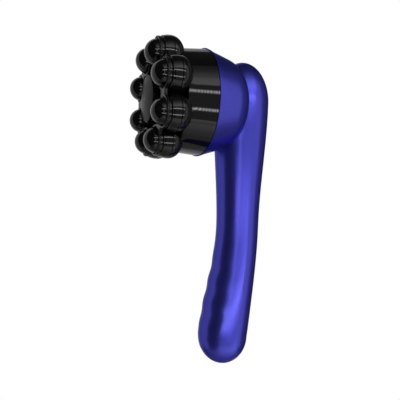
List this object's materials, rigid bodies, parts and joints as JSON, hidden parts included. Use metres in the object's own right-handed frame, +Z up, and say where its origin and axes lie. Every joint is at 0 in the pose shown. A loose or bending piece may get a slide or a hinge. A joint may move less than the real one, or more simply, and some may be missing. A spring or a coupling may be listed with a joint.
{
  "type": "anti-cellulite massager",
  "caption": "Cordless hand massager with eight rolling balls in pods on a turning round drum, in the bell-shaped socket of a waisted handle with finger hollows.",
  "frame": {"origin": "on the handle's axis at its waist, the narrowest place between the head and the palm", "axes": "+Z up the handle towards the head, -Y the way the balls face, +X to the side of the left shell, so the two shells meet on X = 0"},
  "size_m": [0.098, 0.1237, 0.2949],
  "materials": {
    "shell_blue": "satin moulded plastic with a metallic tone",
    "black_gloss": "polished black plastic",
    "black_satin": "satin black plastic",
    "button_blue": "satin dark blue plastic",
    "steel": "turned steel",
    "plated_steel": "zinc-plated steel",
    "bronze": "sintered bronze",
    "gear_white": "natural acetal",
    "case_grey": "grey moulded plastic",
    "cell_wrap": "shrink-wrapped cell",
    "board_green": "coated circuit board"
  },
  "bodies": {
    "handle": {"handle_left_shell": "shell_blue", "handle_right_shell": "shell_blue", "shell_screws": "plated_steel", "drum_shell": "black_satin", "gear_case": "case_grey", "gear_case_screws": "plated_steel", "ring_gear": "gear_white", "shaft_bush": "bronze", "motor_plate": "plated_steel", "motor_screws": "plated_steel", "motor_can": "steel", "motor_end_cap": "black_satin", "battery_tray": "case_grey", "battery_cells": "cell_wrap", "circuit_board": "board_green", "push_switch": "case_grey", "charging_socket": "black_satin"},
    "turret": {"front_plate": "black_gloss", "pod_frame": "black_satin", "rear_cups": "black_gloss", "hub_cap": "black_satin", "hub_screw": "plated_steel", "hub_washer": "steel", "turret_screws": "plated_steel", "ball_axles": "steel", "drive_shaft": "steel", "planet_carrier": "steel"},
    "sun": {"sun_gear": "bronze", "motor_shaft": "steel"},
    "button": {"power_button": "button_blue", "switch_plunger": "black_satin"},
    "ball_1": {"ball_1": "black_gloss"},
    "ball_2": {"ball_2": "black_gloss"},
    "ball_3": {"ball_3": "black_gloss"},
    "ball_4": {"ball_4": "black_gloss"},
    "ball_5": {"ball_5": "black_gloss"},
    "ball_6": {"ball_6": "black_gloss"},
    "ball_7": {"ball_7": "black_gloss"},
    "ball_8": {"ball_8": "black_gloss"},
    "planet_1": {"planet_gear_1": "gear_white"},
    "planet_2": {"planet_gear_2": "gear_white"},
    "planet_3": {"planet_gear_3": "gear_white"}
  },
  "joints": [
    {"name": "turret_spin", "type": "hinge", "parent": "handle", "child": "turret", "pos_m": [0, -0.087, 0.112], "axis": [0, -1, 0], "continuous": true},
    {"name": "sun_spin", "type": "hinge", "parent": "handle", "child": "sun", "pos_m": [0, -0.04, 0.112], "axis": [0, -1, 0], "continuous": true},
    {"name": "ball_1_spin", "type": "hinge", "parent": "turret", "child": "ball_1", "pos_m": [0.03566, -0.087, 0.12677], "axis": [0.9239, 0, 0.3827], "continuous": true},
    {"name": "ball_2_spin", "type": "hinge", "parent": "turret", "child": "ball_2", "pos_m": [0.01477, -0.087, 0.14766], "axis": [0.3827, 0, 0.9239], "continuous": true},
    {"name": "ball_3_spin", "type": "hinge", "parent": "turret", "child": "ball_3", "pos_m": [-0.01477, -0.087, 0.14766], "axis": [-0.3827, 0, 0.9239], "continuous": true},
    {"name": "ball_4_spin", "type": "hinge", "parent": "turret", "child": "ball_4", "pos_m": [-0.03566, -0.087, 0.12677], "axis": [-0.9239, 0, 0.3827], "continuous": true},
    {"name": "ball_5_spin", "type": "hinge", "parent": "turret", "child": "ball_5", "pos_m": [-0.03566, -0.087, 0.09723], "axis": [-0.9239, 0, -0.3827], "continuous": true},
    {"name": "ball_6_spin", "type": "hinge", "parent": "turret", "child": "ball_6", "pos_m": [-0.01477, -0.087, 0.07634], "axis": [-0.3827, 0, -0.9239], "continuous": true},
    {"name": "ball_7_spin", "type": "hinge", "parent": "turret", "child": "ball_7", "pos_m": [0.01477, -0.087, 0.07634], "axis": [0.3827, 0, -0.9239], "continuous": true},
    {"name": "ball_8_spin", "type": "hinge", "parent": "turret", "child": "ball_8", "pos_m": [0.03566, -0.087, 0.09723], "axis": [0.9239, 0, -0.3827], "continuous": true},
    {"name": "planet_1_spin", "type": "hinge", "parent": "turret", "child": "planet_1", "pos_m": [0.012, -0.0487, 0.112], "axis": [0, -1, 0], "continuous": true},
    {"name": "planet_2_spin", "type": "hinge", "parent": "turret", "child": "planet_2", "pos_m": [-0.006, -0.0487, 0.12239], "axis": [0, -1, 0], "continuous": true},
    {"name": "planet_3_spin", "type": "hinge", "parent": "turret", "child": "planet_3", "pos_m": [-0.006, -0.0487, 0.10161], "axis": [0, -1, 0], "continuous": true},
    {"name": "button_press", "type": "slide", "parent": "handle", "child": "button", "axis": [0, -1, 0], "range_m": [0, 0.0006], "stiffness_N_per_m": 3000}
  ],
  "couplings": [
    {"joint": "sun_spin", "follows": "turret_spin", "ratio": 5},
    {"joint": "planet_1_spin", "follows": "turret_spin", "ratio": -2.6667},
    {"joint": "planet_2_spin", "follows": "turret_spin", "ratio": -2.6667},
    {"joint": "planet_3_spin", "follows": "turret_spin", "ratio": -2.6667}
  ]
}
